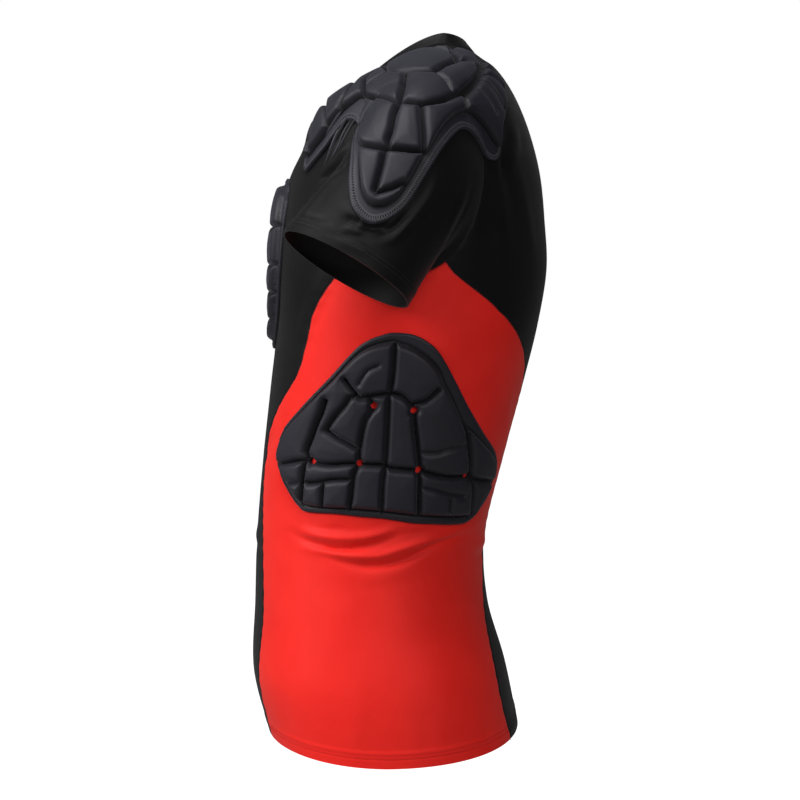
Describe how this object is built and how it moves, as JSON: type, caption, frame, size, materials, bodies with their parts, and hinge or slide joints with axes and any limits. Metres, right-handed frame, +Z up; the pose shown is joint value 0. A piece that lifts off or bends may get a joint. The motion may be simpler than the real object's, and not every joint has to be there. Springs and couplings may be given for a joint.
{
  "type": "padded compression shirt",
  "caption": "Short-sleeved padded compression shirt as worn, with quilted shoulder, chest and rib pads outside and contrast side panels.",
  "frame": {"origin": "between the shoulders, where the wearer's neck and shoulders hold the shirt up", "axes": "+Z up, the wearer faces -Y, +X to the wearer's left"},
  "size_m": [0.5188, 0.2721, 0.6372],
  "materials": {
    "black_knit": "smooth black stretch knit with a slight sheen",
    "red_knit": "smooth red stretch knit with a slight sheen",
    "pad_cloth": "slate stretch cloth moulded over foam cells"
  },
  "bodies": {
    "root": {"front": "black_knit", "back": "black_knit", "side_panel_left": "red_knit", "side_panel_right": "red_knit", "sleeve_left": "black_knit", "sleeve_right": "black_knit", "collar": "black_knit", "shoulder_pad_left": "pad_cloth", "shoulder_pad_right": "pad_cloth", "rib_pad_left": "pad_cloth", "rib_pad_right": "pad_cloth", "chest_pad": "pad_cloth"}
  },
  "joints": []
}
